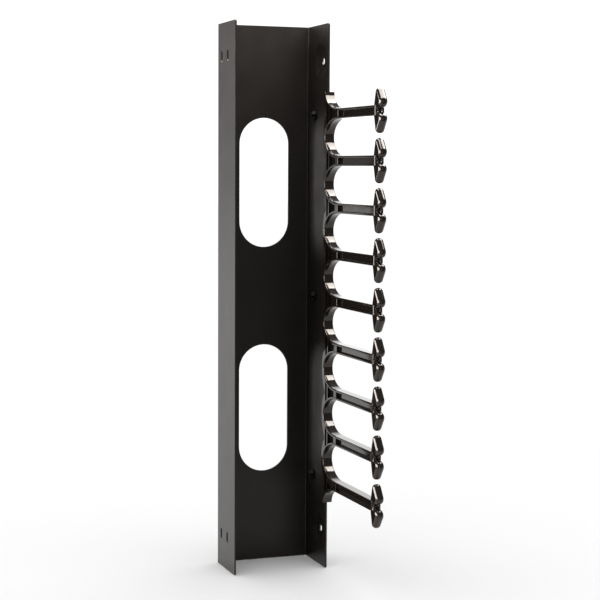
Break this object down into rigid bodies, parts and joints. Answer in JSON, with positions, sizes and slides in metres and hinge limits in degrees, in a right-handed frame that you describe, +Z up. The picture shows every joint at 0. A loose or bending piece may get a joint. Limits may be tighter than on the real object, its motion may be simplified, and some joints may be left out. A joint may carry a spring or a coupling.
{
  "type": "vertical cable manager",
  "caption": "Tall folded steel channel with two long oval windows and a plastic comb of two-lobed fingers along one flange, for cables beside a network rack.",
  "frame": {"origin": "middle of the channel's flat wall face", "axes": "+Z up along the channel, +Y into the wall, +X towards the flange that carries the comb"},
  "size_m": [0.1008, 0.1942, 0.53],
  "materials": {
    "channel": "satin",
    "comb": "gloss",
    "rivet": "satin"
  },
  "bodies": {
    "root": {"back_channel": "channel", "comb_spine": "comb", "finger_1": "comb", "finger_2": "comb", "finger_3": "comb", "finger_4": "comb", "finger_5": "comb", "finger_6": "comb", "finger_7": "comb", "finger_8": "comb", "finger_9": "comb", "rivet_sleeve_top": "rivet", "rivet_sleeve_middle": "rivet", "rivet_sleeve_bottom": "rivet", "rivet_pin_top": "rivet", "rivet_pin_middle": "rivet", "rivet_pin_bottom": "rivet"}
  },
  "joints": []
}
